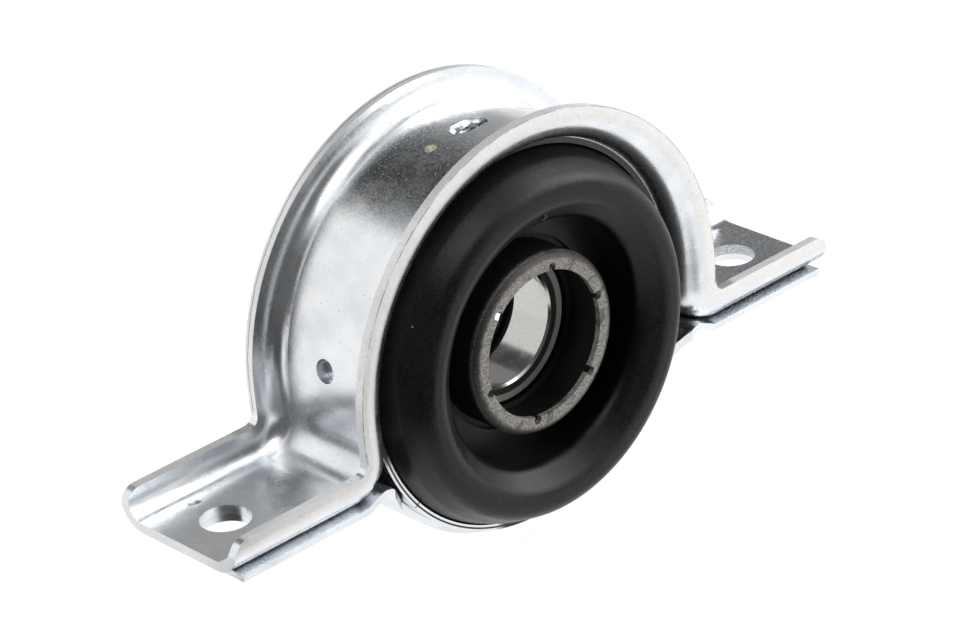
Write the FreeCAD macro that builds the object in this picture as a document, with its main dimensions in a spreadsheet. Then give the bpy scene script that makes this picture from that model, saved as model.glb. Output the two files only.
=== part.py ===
import FreeCAD, Part
import math
import os
import Sketcher

# Driveshaft centre bearing: a sealed ball bearing pressed into a stepped housing, which a moulded rubber
# cushion hangs inside a rolled steel ring. A channel-section bracket arches over the ring, a thinner strap
# closes it from below, and both are bolted to the vehicle through the two feet.
# Origin: centre of the bearing. X runs across the feet, Y along the shaft with the front at -Y, Z is up.

Vector = FreeCAD.Vector

# Driving sizes in millimetres and degrees, each written once.
DRIVING_SIZES = [
    ("bore_diameter", 30.0),
    ("bearing_diameter", 55.0),
    ("bearing_width", 13.0),
    ("race_share", 0.328),
    ("race_chamfer", 0.6),
    ("ball_share", 0.5715),
    ("ball_count", 11),
    ("running_clearance", 0.05),
    ("seat_clearance", 0.05),
    ("seal_thickness", 1.2),
    ("seal_groove_depth", 1.0),
    ("seal_set_back", 0.2),
    ("cage_bar", 0.5),
    ("cage_wall", 2.6),
    ("pocket_clearance", 0.1),
    ("housing_sheet", 1.5),
    ("nose_step", 6.05),
    ("nose_reach", 20.4),
    ("nose_rim", 4.5),
    ("housing_bend", 2.0),
    ("crimp_rim", 4.05),
    ("notch_count", 6),
    ("notch_diameter", 2.3),
    ("notch_inset", 0.7),
    ("notch_start_angle", 17.0),
    ("dust_seal_wall", 0.9),
    ("dust_lip_height", 0.8),
    ("rear_seal_clearance", 1.6),
    ("rear_seal_reach", 12.0),
    ("cushion_depth", 20.15),
    ("ring_sheet", 1.6),
    ("ring_width", 27.0),
    ("seam_gap", 0.3),
    ("seam_angle", 217.0),
    ("seam_overcut", 1.0),
    ("rubber_lip", 1.8),
    ("rubber_lip_set_back", 1.2),
    ("rubber_skin", 1.6),
    ("rubber_wall", 4.6),
    ("throat_gap", 1.95),
    ("throat_reach", 20.5),
    ("bulge_reach", 25.2),
    ("bulge_inner_share", 0.345),
    ("bulge_outer_share", 0.675),
    ("bulge_flank_share", 0.88),
    ("bulge_flank_reach", 18.5),
    ("bulge_rounding_share", 0.248),
    ("nub_diameter", 2.8),
    ("nub_share", 0.22),
    ("bracket_width", 41.4),
    ("bracket_sheet", 2.5),
    ("flange_height", 6.65),
    ("flange_bend", 5.0),
    ("foot_drop", 16.4),
    ("foot_bend", 9.0),
    ("foot_tip_rounding", 4.4),
    ("bolt_spacing", 170.0),
    ("foot_margin", 14.0),
    ("bolt_hole_diameter", 12.4),
    ("web_hole_diameter", 6.0),
    ("web_hole_height", 7.6),
    ("plug_slot_length", 10.5),
    ("plug_slot_width", 5.6),
    ("plug_weld_height", 1.3),
    ("dimple_radius", 3.1),
    ("dimple_depth", 0.5),
    ("dimple_offset", 11.0),
    ("strap_sheet", 1.7),
    ("strap_width", 39.0),
    ("strap_waist", 19.0),
    ("waist_reach", 40.0),
    ("strap_margin", 11.7),
    ("strap_slope", 23.0),
    ("strap_hump_offset", 2.0),
    ("strap_bend", 2.5),
]


class Size:
    """A size that knows its value and the sheet formula behind it, so sums of sizes stay parametric."""

    def __init__(self, value, formula):
        self.value = value
        self.formula = formula

    def __add__(self, other):
        other = as_size(other)
        return Size(self.value + other.value, f"({self.formula} + {other.formula})")

    def __sub__(self, other):
        other = as_size(other)
        return Size(self.value - other.value, f"({self.formula} - {other.formula})")

    def __mul__(self, other):
        other = as_size(other)
        return Size(self.value * other.value, f"({self.formula} * {other.formula})")

    def __truediv__(self, other):
        other = as_size(other)
        return Size(self.value / other.value, f"({self.formula} / {other.formula})")

    def __neg__(self):
        return Size(-self.value, f"(0 - {self.formula})")

    def __radd__(self, other):
        return as_size(other) + self

    def __rmul__(self, other):
        return as_size(other) * self


def as_size(number):
    return number if isinstance(number, Size) else Size(float(number), str(float(number)))


def root(size):
    return Size(math.sqrt(size.value), f"sqrt({size.formula})")


def sine(angle):
    return Size(math.sin(math.radians(angle.value)), f"sin({angle.formula})")


def cosine(angle):
    return Size(math.cos(math.radians(angle.value)), f"cos({angle.formula})")


def tangent(angle):
    return Size(math.tan(math.radians(angle.value)), f"tan({angle.formula})")


document = FreeCAD.newDocument("centre_bearing")
sheet = document.addObject("Spreadsheet::Sheet", "Sizes")
given = {}
for row, (alias, number) in enumerate(DRIVING_SIZES, start=1):
    sheet.set(f"A{row}", alias)
    sheet.set(f"B{row}", str(number))
    sheet.setAlias(f"B{row}", alias)
    given[alias] = Size(float(number), f"Sizes.{alias}")
document.recompute()
zero = as_size(0)

# Sizes that several pieces share.
bore_radius = given["bore_diameter"] / 2
bearing_radius = given["bearing_diameter"] / 2
bearing_face = given["bearing_width"] / 2
bearing_section = bearing_radius - bore_radius
inner_race_radius = bore_radius + bearing_section * given["race_share"]
outer_race_bore = bearing_radius - bearing_section * given["race_share"]
pitch_radius = (inner_race_radius + outer_race_bore) / 2
ball_radius = bearing_section * given["ball_share"] / 2
groove_radius = ball_radius + given["running_clearance"]
seat = given["seat_clearance"]
housing_sheet = given["housing_sheet"]
housing_bore = bearing_radius + seat
housing_radius = housing_bore + housing_sheet
nose_radius = housing_radius - given["nose_step"]
nose_bore = nose_radius - housing_sheet
nose_opening = nose_radius - given["nose_rim"]
crimp_radius = housing_radius - given["crimp_rim"]
shoulder_front = bearing_face + seat + housing_sheet
crimp_back = bearing_face + seat + housing_sheet
ring_radius = housing_radius + given["cushion_depth"]
ring_bore = ring_radius - given["ring_sheet"]
ring_face = given["ring_width"] / 2
arch_bore = ring_radius + seat
web_radius = arch_bore + given["bracket_sheet"]
flange_radius = web_radius + given["flange_height"]
bracket_face = given["bracket_width"] / 2
channel_face = bracket_face - given["bracket_sheet"]
foot_top = -given["foot_drop"]
foot_bottom = foot_top - given["bracket_sheet"]
flange_top = foot_top + given["flange_height"]
bolt_place = given["bolt_spacing"] / 2
foot_end = bolt_place + given["foot_margin"]


def bind(target, name, size):
    """Ties a property of an object to its sheet formula."""
    target.setExpression(name, size.formula)


def start_body(label):
    body = document.addObject("PartDesign::Body", label)
    body.Label = label
    return body


def origin_feature(body, role):
    return next(feature for feature in body.Origin.OriginFeatures if feature.Role == role)


def sketch_on(body, name, role):
    """An empty sketch on one of the body's own planes."""
    sketch = body.newObject("Sketcher::SketchObject", name)
    sketch.AttachmentSupport = [(origin_feature(body, role), "")]
    sketch.MapMode = "FlatFace"
    return sketch


def dimension(sketch, kind, size, *where):
    index = sketch.addConstraint(Sketcher.Constraint(kind, *where, size.value))
    bind(sketch, f"Constraints[{index}]", size)


def pin_point(sketch, piece, end, point):
    """Ties one point of the drawing to its distances from the sketch's origin."""
    dimension(sketch, "DistanceX", point[0], -1, 1, piece, end)
    dimension(sketch, "DistanceY", point[1], -1, 1, piece, end)


def flat_vector(point):
    return Vector(point[0].value, point[1].value, 0)


def draw_outline(sketch, corners, arcs=()):
    """A closed outline; arcs holds the numbers of the sides that are arcs about the origin, with their turn."""
    arcs = dict(arcs)
    first = sketch.GeometryCount
    count = len(corners)
    ends = []
    for side, corner in enumerate(corners):
        start, stop = flat_vector(corner), flat_vector(corners[(side + 1) % count])
        if side not in arcs:
            sketch.addGeometry(Part.LineSegment(start, stop))
            ends.append((1, 2))
            continue
        from_angle = math.atan2(start.y, start.x)
        to_angle = math.atan2(stop.y, stop.x)
        circle = Part.Circle(Vector(0, 0, 0), Vector(0, 0, 1), start.Length)
        if arcs[side] == "clockwise":
            from_angle, to_angle = to_angle, from_angle
            ends.append((2, 1))
        else:
            ends.append((1, 2))
        sketch.addGeometry(Part.ArcOfCircle(circle, from_angle, to_angle))
    for side in range(count):
        after = (side + 1) % count
        sketch.addConstraint(
            Sketcher.Constraint("Coincident", first + side, ends[side][1], first + after, ends[after][0])
        )
    for side, corner in enumerate(corners):
        pin_point(sketch, first + side, ends[side][0], corner)
    for side in arcs:
        # The arcs end level with each other, so one more tie puts their centre on the origin.
        sketch.addConstraint(Sketcher.Constraint("PointOnObject", first + side, 3, -1))


def draw_circle(sketch, centre, radius):
    index = sketch.addGeometry(Part.Circle(flat_vector(centre), Vector(0, 0, 1), radius.value))
    pin_point(sketch, index, 3, centre)
    dimension(sketch, "Radius", radius, index)


def draw_slot(sketch, length, width):
    """An oblong centred on the origin with its length along the sketch's X."""
    radius = width / 2
    reach = (length - width) / 2
    right, left = Vector(reach.value, 0, 0), Vector(-reach.value, 0, 0)
    rise = Vector(0, radius.value, 0)
    normal = Vector(0, 0, 1)
    quarter = math.pi / 2
    right_arc = sketch.addGeometry(Part.ArcOfCircle(Part.Circle(right, normal, radius.value), -quarter, quarter))
    top = sketch.addGeometry(Part.LineSegment(right + rise, left + rise))
    left_arc = sketch.addGeometry(Part.ArcOfCircle(Part.Circle(left, normal, radius.value), quarter, 3 * quarter))
    bottom = sketch.addGeometry(Part.LineSegment(left - rise, right - rise))
    loop = [right_arc, top, left_arc, bottom]
    for index, piece in enumerate(loop):
        after = loop[(index + 1) % len(loop)]
        sketch.addConstraint(Sketcher.Constraint("Tangent", piece, 2, after, 1))
    pin_point(sketch, right_arc, 3, (reach, zero))
    pin_point(sketch, left_arc, 3, (-reach, zero))
    dimension(sketch, "Radius", radius, right_arc)
    sketch.addConstraint(Sketcher.Constraint("Equal", right_arc, left_arc))


def turned(body, corners, name="Profile"):
    """Revolves an outline of (along the shaft, radius) corners about the shaft line."""
    sketch = sketch_on(body, name, "YZ_Plane")
    draw_outline(sketch, corners)
    turn = body.newObject("PartDesign::Revolution", "Turned")
    turn.Profile = sketch
    turn.ReferenceAxis = (sketch, ["H_Axis"])
    turn.Angle = 360
    return turn


def groove_about_shaft(body, centre, radius):
    """Cuts a ball track: a circle turned about the shaft line."""
    sketch = sketch_on(body, "TrackSection", "YZ_Plane")
    draw_circle(sketch, centre, radius)
    groove = body.newObject("PartDesign::Groove", "BallTrack")
    groove.Profile = sketch
    groove.ReferenceAxis = (sketch, ["H_Axis"])
    groove.Angle = 360
    return groove


def pad_both_ways(body, sketch, width):
    pad = body.newObject("PartDesign::Pad", "Pad")
    pad.Profile = sketch
    pad.Midplane = True
    bind(pad, "Length", width)
    return pad


def pocket_through(body, sketch, both_ways=False, upwards=False):
    pocket = body.newObject("PartDesign::Pocket", "Pocket")
    pocket.Profile = sketch
    pocket.Type = "ThroughAll"
    pocket.Midplane = both_ways
    pocket.Reversed = upwards
    return pocket


def polar_pattern(body, feature, count):
    """Repeats the feature evenly round the shaft line."""
    pattern = body.newObject("PartDesign::PolarPattern", "Pattern")
    pattern.Originals = [feature]
    pattern.Axis = (origin_feature(body, "Y_Axis"), [""])
    pattern.Angle = 360
    bind(pattern, "Occurrences", count)
    body.Tip = pattern
    return pattern


def edges_like(feature, test):
    """Names of the feature's edges for which the test of an edge's middle point and the edge holds."""
    names = []
    for index, edge in enumerate(feature.Shape.Edges, start=1):
        middle = edge.valueAt((edge.FirstParameter + edge.LastParameter) / 2)
        if test(middle, edge):
            names.append(f"Edge{index}")
    return names


def near(first, second):
    return abs(first - second) < 0.01


def rounded(body, base, names, radius, kind="Fillet"):
    """Rounds or chamfers the named edges of the last feature."""
    if not names:
        raise RuntimeError(f"no edge to round on {body.Label}")
    rounding = body.newObject(f"PartDesign::{kind}", kind)
    rounding.Base = (base, names)
    bind(rounding, "Radius" if kind == "Fillet" else "Size", radius)
    document.recompute()
    return rounding


def rims_at(feature, places):
    """Edges of a turned piece at the given (along the shaft, radius) corners."""
    def on_a_place(middle, edge):
        radius = math.hypot(middle.x, middle.z)
        return any(near(middle.y, along.value) and near(radius, out.value) for along, out in places)
    return edges_like(feature, on_a_place)


def profile_edges_at(feature, places):
    """Edges that run along the shaft direction at the given (across, up) corners."""
    def on_a_place(middle, edge):
        straight = near(edge.BoundBox.XLength, 0) and near(edge.BoundBox.ZLength, 0)
        return straight and any(near(middle.x, x.value) and near(middle.z, z.value) for x, z in places)
    return edges_like(feature, on_a_place)


def mirrored_places(places):
    return list(places) + [(-x, z) for x, z in places]


def subtract_sphere(body, name, radius, centre):
    sphere = body.newObject("PartDesign::SubtractiveSphere", name)
    sphere.AttachmentSupport = [(origin_feature(body, "XY_Plane"), "")]
    sphere.MapMode = "FlatFace"
    bind(sphere, "Radius", radius)
    for axis, size in zip("xyz", centre):
        bind(sphere, f"AttachmentOffset.Base.{axis}", size)
    return sphere


def make_upper_bracket():
    """Omega-shaped channel: pad the full outline, cut the channel, then round every bend of the sheet."""
    body = start_body("upper_bracket")
    outline = sketch_on(body, "BracketOutline", "XZ_Plane")
    draw_outline(outline, [
        (-foot_end, foot_bottom),
        (-arch_bore, foot_bottom),
        (-arch_bore, zero),
        (arch_bore, zero),
        (arch_bore, foot_bottom),
        (foot_end, foot_bottom),
        (foot_end, flange_top),
        (flange_radius, flange_top),
        (flange_radius, zero),
        (-flange_radius, zero),
        (-flange_radius, flange_top),
        (-foot_end, flange_top),
    ], arcs={2: "clockwise", 8: "anticlockwise"})
    pad_both_ways(body, outline, given["bracket_width"])

    # The cut clears everything above the web between the two flanges.
    beyond_end = foot_end + given["bracket_sheet"]
    beyond_top = flange_radius + given["bracket_sheet"]
    channel = sketch_on(body, "ChannelOutline", "XZ_Plane")
    draw_outline(channel, [
        (-beyond_end, foot_top),
        (-web_radius, foot_top),
        (-web_radius, zero),
        (web_radius, zero),
        (web_radius, foot_top),
        (beyond_end, foot_top),
        (beyond_end, beyond_top),
        (-beyond_end, beyond_top),
    ], arcs={2: "clockwise"})
    cut = body.newObject("PartDesign::Pocket", "Channel")
    cut.Profile = channel
    cut.Midplane = True
    bind(cut, "Length", channel_face * 2)
    document.recompute()

    bend = given["foot_bend"]
    web_corner = mirrored_places([(web_radius, foot_top)])
    under_corner = mirrored_places([(arch_bore, foot_bottom)])
    flange_corner = mirrored_places([(flange_radius, flange_top)])
    tip_corner = mirrored_places([(foot_end, flange_top)])
    base = rounded(body, cut, profile_edges_at(cut, web_corner), bend)
    base = rounded(body, base, profile_edges_at(base, under_corner), bend + given["bracket_sheet"])
    base = rounded(body, base, profile_edges_at(base, flange_corner), bend - given["flange_height"])
    base = rounded(body, base, profile_edges_at(base, tip_corner), given["foot_tip_rounding"])

    # The flange bends: one smooth run of edges inside the channel and one under the web, on each side.
    def inside_channel(middle, edge):
        if not near(abs(middle.y), channel_face.value) or not near(edge.BoundBox.YLength, 0):
            return False
        over_arch = near(math.hypot(middle.x, middle.z), web_radius.value)
        on_leg = near(abs(middle.x), web_radius.value)
        return over_arch or on_leg or near(middle.z, foot_top.value) or is_bend(edge, bend.value)

    def under_web(middle, edge):
        if not near(abs(middle.y), bracket_face.value) or not near(edge.BoundBox.YLength, 0):
            return False
        under_arch = near(math.hypot(middle.x, middle.z), arch_bore.value)
        on_leg = near(abs(middle.x), arch_bore.value)
        outside_bend = is_bend(edge, bend.value + given["bracket_sheet"].value)
        return under_arch or on_leg or near(middle.z, foot_bottom.value) or outside_bend

    base = rounded(body, base, edges_like(base, inside_channel), given["flange_bend"])
    base = rounded(body, base, edges_like(base, under_web), given["flange_bend"] + given["bracket_sheet"])

    bolts = sketch_on(body, "BoltHoles", "XY_Plane")
    for side in (-1, 1):
        draw_circle(bolts, (bolt_place * side, zero), given["bolt_hole_diameter"] / 2)
    pocket_through(body, bolts)
    web_holes = sketch_on(body, "WebHoles", "YZ_Plane")
    draw_circle(web_holes, (zero, given["web_hole_height"]), given["web_hole_diameter"] / 2)
    pocket_through(body, web_holes, both_ways=True)
    slot = sketch_on(body, "PlugWeldSlot", "XY_Plane")
    draw_slot(slot, given["plug_slot_length"], given["plug_slot_width"])
    pocket_through(body, slot, upwards=True)
    dimple_height = foot_top + given["dimple_radius"] - given["dimple_depth"]
    for side, name in ((-1, "WeldDimpleLeft"), (1, "WeldDimpleRight")):
        subtract_sphere(
            body, name, given["dimple_radius"], (bolt_place * side, given["dimple_offset"], dimple_height)
        )
    return body


def is_bend(edge, radius):
    return edge.Curve.TypeId == "Part::GeomCircle" and near(edge.Curve.Radius, radius)


def make_lower_bracket():
    """Strap: a flat plate under each foot, a small hump under the arch's bend, and a saddle round the ring."""
    body = start_body("lower_bracket")
    thick = given["strap_sheet"]
    slope = given["strap_slope"]
    end = bolt_place + given["strap_margin"]
    plate_top = foot_bottom - seat
    under_bend = given["foot_bend"] + given["bracket_sheet"] + seat

    # The rising flat touches the bracket's bend from below, so it starts where that tangent meets the foot.
    rise_start = arch_bore + under_bend - (under_bend + seat) * tangent(slope / 2)
    hump_across = arch_bore + given["strap_hump_offset"]
    hump_up = plate_top + (rise_start - hump_across) * tangent(slope)

    # From the hump a flat runs down to touch the ring: the touching point follows from the two lengths.
    saddle = arch_bore
    distance_squared = hump_across * hump_across + hump_up * hump_up
    along = saddle * saddle / distance_squared
    aside = saddle * root(distance_squared - saddle * saddle) / distance_squared
    touch_across = along * hump_across + aside * hump_up
    touch_up = along * hump_up - aside * hump_across
    grow = (saddle + thick) / saddle

    # Lower corners lie one sheet below the upper ones, square to both flats that meet there.
    rise_shift = thick * tangent(slope / 2)
    rising_normal = (-sine(slope), -cosine(slope))
    falling_normal = (touch_across / saddle, touch_up / saddle)
    shared = 1 + rising_normal[0] * falling_normal[0] + rising_normal[1] * falling_normal[1]
    low_hump = (
        hump_across + thick * (rising_normal[0] + falling_normal[0]) / shared,
        hump_up + thick * (rising_normal[1] + falling_normal[1]) / shared,
    )
    right_side = [
        (touch_across, touch_up),
        (hump_across, hump_up),
        (rise_start, plate_top),
        (end, plate_top),
        (end, plate_top - thick),
        (rise_start - rise_shift, plate_top - thick),
        low_hump,
        (touch_across * grow, touch_up * grow),
    ]
    left_side = [(-x, z) for x, z in reversed(right_side)]
    outline = sketch_on(body, "StrapOutline", "XZ_Plane")
    draw_outline(outline, right_side + left_side, arcs={7: "clockwise", 15: "anticlockwise"})
    pad = pad_both_ways(body, outline, given["strap_width"])
    document.recompute()
    inside = mirrored_places([right_side[2], low_hump])
    outside = mirrored_places([right_side[1], right_side[5]])
    base = rounded(body, pad, profile_edges_at(pad, inside), given["strap_bend"])
    rounded(body, base, profile_edges_at(base, outside), given["strap_bend"] + thick)
    bolts = sketch_on(body, "BoltHoles", "XY_Plane")
    for side in (-1, 1):
        draw_circle(bolts, (bolt_place * side, zero), given["bolt_hole_diameter"] / 2)
    pocket_through(body, bolts)

    # The saddle is narrower than the feet: a cut with sloping ends takes a strip off each side.
    waist = sketch_on(body, "WaistCuts", "XY_Plane")
    waist_side = given["strap_waist"] / 2
    beyond_side = given["strap_width"] / 2 + thick
    reach = given["waist_reach"]
    full_reach = reach + beyond_side - waist_side
    for side in (-1, 1):
        draw_outline(waist, [
            (-reach, waist_side * side),
            (reach, waist_side * side),
            (full_reach, beyond_side * side),
            (-full_reach, beyond_side * side),
        ])
    pocket_through(body, waist, both_ways=True)
    return body


def make_outer_ring():
    """Rolled steel ring with a butt seam low on one side."""
    body = start_body("outer_ring")
    turned(body, [
        (-ring_face, ring_bore),
        (ring_face, ring_bore),
        (ring_face, ring_radius),
        (-ring_face, ring_radius),
    ])
    seam = sketch_on(body, "Seam", "XZ_Plane")
    across, up = cosine(given["seam_angle"]), sine(given["seam_angle"])
    half_gap = given["seam_gap"] / 2
    near_end, far_end = ring_bore - given["seam_overcut"], ring_radius + given["seam_overcut"]
    corners = []
    for reach, shift in ((near_end, -half_gap), (far_end, -half_gap), (far_end, half_gap), (near_end, half_gap)):
        corners.append((across * reach - up * shift, up * reach + across * shift))
    draw_outline(seam, corners)
    pocket_through(body, seam, both_ways=True)
    return body


def make_rubber_cushion():
    """One moulding: a lip inside the ring, a fold that bulges to the front, and a skin on the housing."""
    body = start_body("rubber_cushion")
    skin_radius = housing_radius + seat + given["rubber_skin"]
    lip_radius = ring_bore - seat
    lip_bore = lip_radius - given["rubber_lip"]
    lip_front = -(ring_face - given["rubber_lip_set_back"])
    wall = given["rubber_wall"]
    half_wall = wall / 2
    bulge_front = -given["bulge_reach"]
    throat_radius = housing_radius + given["throat_gap"]
    fold_gap = ring_bore - throat_radius
    bulge_inner = throat_radius + fold_gap * given["bulge_inner_share"]
    bulge_outer = throat_radius + fold_gap * given["bulge_outer_share"]
    flank_radius = throat_radius + fold_gap * given["bulge_flank_share"]
    bulge_rounding = fold_gap * given["bulge_rounding_share"]
    shoulder_cover = -(shoulder_front + seat + given["rubber_skin"])
    front = [
        (lip_front, lip_radius),
        (-given["bulge_flank_reach"], flank_radius),
        (bulge_front, bulge_outer),
        (bulge_front, bulge_inner),
        (-given["throat_reach"], throat_radius),
        (shoulder_cover, throat_radius),
        (shoulder_cover, nose_radius + given["rubber_skin"]),
        (-(shoulder_front + seat), nose_radius + given["rubber_skin"]),
        (-(shoulder_front + seat), housing_radius + seat),
        (crimp_back, housing_radius + seat),
        (crimp_back, skin_radius),
    ]
    hollow = [
        (shoulder_cover + wall, skin_radius),
        (shoulder_cover + wall, throat_radius + wall),
        (half_wall - given["throat_reach"], throat_radius + wall),
        (bulge_front + wall, bulge_inner + half_wall),
        (bulge_front + wall, bulge_outer - half_wall),
        (half_wall - given["bulge_flank_reach"], flank_radius - wall),
        (lip_front + wall, lip_bore),
        (-lip_front, lip_bore),
        (-lip_front, lip_radius),
    ]
    fold = turned(body, front + hollow)
    document.recompute()
    base = rounded(body, fold, rims_at(fold, front[1:5]), bulge_rounding)
    base = rounded(body, base, rims_at(base, [hollow[1], hollow[2], hollow[5]]), given["rubber_skin"])
    nub = body.newObject("PartDesign::AdditiveSphere", "MouldNub")
    nub.AttachmentSupport = [(origin_feature(body, "XY_Plane"), "")]
    nub.MapMode = "FlatFace"
    bind(nub, "Radius", given["nub_diameter"] / 2)
    nub_radius = throat_radius + fold_gap * given["nub_share"]
    down_the_throat = (bulge_inner - nub_radius) / (bulge_inner - throat_radius)
    nub_along = bulge_front + (given["bulge_reach"] - given["throat_reach"]) * down_the_throat
    bind(nub, "AttachmentOffset.Base.y", nub_along + given["nub_diameter"] / 4)
    bind(nub, "AttachmentOffset.Base.z", nub_radius)
    return body


def make_inner_sleeve():
    """Pressed housing: a cup round the bearing, a shoulder in front, and a nose with an in-turned rim."""
    body = start_body("inner_sleeve")
    nose_front = -given["nose_reach"]
    bearing_back = bearing_face + seat
    outside = [
        (nose_front, nose_opening),
        (nose_front, nose_radius),
        (-shoulder_front, nose_radius),
        (-shoulder_front, housing_radius),
        (crimp_back, housing_radius),
        (crimp_back, crimp_radius),
    ]
    inside = [
        (bearing_back, crimp_radius),
        (bearing_back, housing_bore),
        (-bearing_back, housing_bore),
        (-bearing_back, nose_bore),
        (nose_front + housing_sheet, nose_bore),
        (nose_front + housing_sheet, nose_opening),
    ]
    shell = turned(body, outside + inside)
    document.recompute()
    big_bend = given["housing_bend"]
    base = rounded(body, shell, rims_at(shell, [outside[1], outside[3], outside[4]]), big_bend)
    base = rounded(body, base, rims_at(base, [inside[4]]), big_bend - housing_sheet)
    notch = sketch_on(body, "RimNotch", "XZ_Plane")
    reach = nose_opening + given["notch_inset"]
    angle = given["notch_start_angle"]
    draw_circle(notch, (reach * cosine(angle), reach * sine(angle)), given["notch_diameter"] / 2)
    cut = pocket_through(body, notch, both_ways=True)
    polar_pattern(body, cut, given["notch_count"])
    return body


def make_outer_race():
    """Outer race with a seal groove at each face and a ball track."""
    body = start_body("bearing_outer_race")
    seal_inside = bearing_face - given["seal_set_back"] - given["seal_thickness"]
    seal_radius = outer_race_bore + given["seal_groove_depth"]
    race = turned(body, [
        (-bearing_face, seal_radius),
        (-seal_inside, seal_radius),
        (-seal_inside, outer_race_bore),
        (seal_inside, outer_race_bore),
        (seal_inside, seal_radius),
        (bearing_face, seal_radius),
        (bearing_face, bearing_radius),
        (-bearing_face, bearing_radius),
    ])
    document.recompute()
    corners = [(bearing_face, bearing_radius), (-bearing_face, bearing_radius)]
    rounded(body, race, rims_at(race, corners), given["race_chamfer"], kind="Chamfer")
    groove_about_shaft(body, (zero, pitch_radius), groove_radius)
    return body


def make_inner_race():
    """Inner race: ground bore, chamfered at both ends, and a ball track."""
    body = start_body("bearing_inner_race")
    race = turned(body, [
        (-bearing_face, bore_radius),
        (bearing_face, bore_radius),
        (bearing_face, inner_race_radius),
        (-bearing_face, inner_race_radius),
    ])
    document.recompute()
    corners = [(bearing_face, bore_radius), (-bearing_face, bore_radius)]
    rounded(body, race, rims_at(race, corners), given["race_chamfer"], kind="Chamfer")
    groove_about_shaft(body, (zero, pitch_radius), groove_radius)
    return body


def make_bearing_seal(label, side):
    """Contact seal: held in the outer race's groove, with a lip that just clears the inner race."""
    body = start_body(label)
    outside = (bearing_face - given["seal_set_back"]) * side
    inside = (bearing_face - given["seal_set_back"] - given["seal_thickness"] + seat) * side
    lip = inner_race_radius + given["running_clearance"]
    rim = outer_race_bore + given["seal_groove_depth"] - seat
    corners = [(inside, lip), (outside, lip), (outside, rim), (inside, rim)]
    turned(body, corners if side > 0 else corners[::-1])
    return body


def make_front_dust_seal():
    """Rubber lining of the nose, behind the in-turned rim, with a lip at its bearing end."""
    body = start_body("front_dust_seal")
    front = given["housing_bend"] + seat - given["nose_reach"]
    back = -(bearing_face + seat * 2)
    outer = nose_bore - seat
    wall = outer - given["dust_seal_wall"]
    lip = wall - given["dust_lip_height"]
    turned(body, [
        (front, wall),
        (back - given["dust_lip_height"] * 2, wall),
        (back - given["dust_lip_height"], lip),
        (back, lip),
        (back, outer),
        (front, outer),
    ])
    return body


def make_rear_dust_seal():
    """Rubber seal behind the bearing: a flat ring on the outer race and a sleeve round the shaft."""
    body = start_body("rear_dust_seal")
    front = bearing_face + seat
    lip = inner_race_radius - given["rear_seal_clearance"]
    sleeve_bore = lip + given["dust_seal_wall"]
    sleeve = sleeve_bore + given["dust_seal_wall"]
    rim = crimp_radius - seat
    flat_back = front + housing_sheet
    end = given["rear_seal_reach"]
    turned(body, [
        (front, inner_race_radius + given["running_clearance"]),
        (flat_back - given["dust_seal_wall"] / 2, sleeve_bore),
        (end - given["dust_seal_wall"] * 2, sleeve_bore),
        (end - given["dust_seal_wall"], lip),
        (end, lip),
        (end, sleeve),
        (flat_back, sleeve),
        (flat_back, rim),
        (front, rim),
    ])
    return body


def make_ball(index):
    label = f"ball_{index + 1}"
    ball = document.addObject("Part::Sphere", label)
    ball.Label = label
    bind(ball, "Radius", ball_radius)
    angle = as_size(360 * index) / given["ball_count"]
    bind(ball, "Placement.Base.x", pitch_radius * cosine(angle))
    bind(ball, "Placement.Base.z", pitch_radius * sine(angle))
    return ball


def make_ball_cage():
    """Moulded cage: a ring with a round pocket through it for each ball."""
    body = start_body("ball_cage")
    pocket_radius = ball_radius + given["pocket_clearance"]
    face = pocket_radius + given["cage_bar"]
    inside = pitch_radius - given["cage_wall"] / 2
    outside = pitch_radius + given["cage_wall"] / 2
    turned(body, [(-face, inside), (face, inside), (face, outside), (-face, outside)])
    pocket = sketch_on(body, "BallPocket", "YZ_Plane")
    draw_circle(pocket, (zero, zero), pocket_radius)
    cut = pocket_through(body, pocket, upwards=True)
    polar_pattern(body, cut, given["ball_count"])
    return body


def make_plug_weld():
    """Weld metal that fills the bottom of the bracket's slot and holds it to the ring."""
    body = start_body("plug_weld")
    sketch = sketch_on(body, "WeldOutline", "XY_Plane")
    bind(sketch, "AttachmentOffset.Base.z", ring_radius + seat)
    draw_slot(sketch, given["plug_slot_length"] - seat * 2, given["plug_slot_width"] - seat * 2)
    pad = body.newObject("PartDesign::Pad", "Pad")
    pad.Profile = sketch
    bind(pad, "Length", given["plug_weld_height"])
    return body


sub_parts = [
    make_upper_bracket(),
    make_lower_bracket(),
    make_outer_ring(),
    make_rubber_cushion(),
    make_inner_sleeve(),
    make_outer_race(),
    make_inner_race(),
    make_bearing_seal("bearing_seal_front", -1),
    make_bearing_seal("bearing_seal_rear", 1),
    make_front_dust_seal(),
    make_rear_dust_seal(),
    make_ball_cage(),
    make_plug_weld(),
]
sub_parts += [make_ball(index) for index in range(int(given["ball_count"].value))]
document.recompute()

for item in document.Objects:
    if "Invalid" in item.State or "Error" in item.State:
        raise RuntimeError(f"{item.Name} did not build: {item.State}")
for piece in sub_parts:
    if piece.Shape.isNull() or not piece.Shape.isValid() or not piece.Shape.Solids:
        raise RuntimeError(f"{piece.Label} has no valid solid")

os.makedirs("parts", exist_ok=True)
for piece in sub_parts:
    piece.Shape.exportStep(f"parts/{piece.Label}.step")
    print(f"{piece.Label}: {len(piece.Shape.Solids)} solid(s), {piece.Shape.Volume:.1f} mm3")
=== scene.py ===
import math

import bmesh
import bpy
from mathutils import Matrix, Vector, noise


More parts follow.
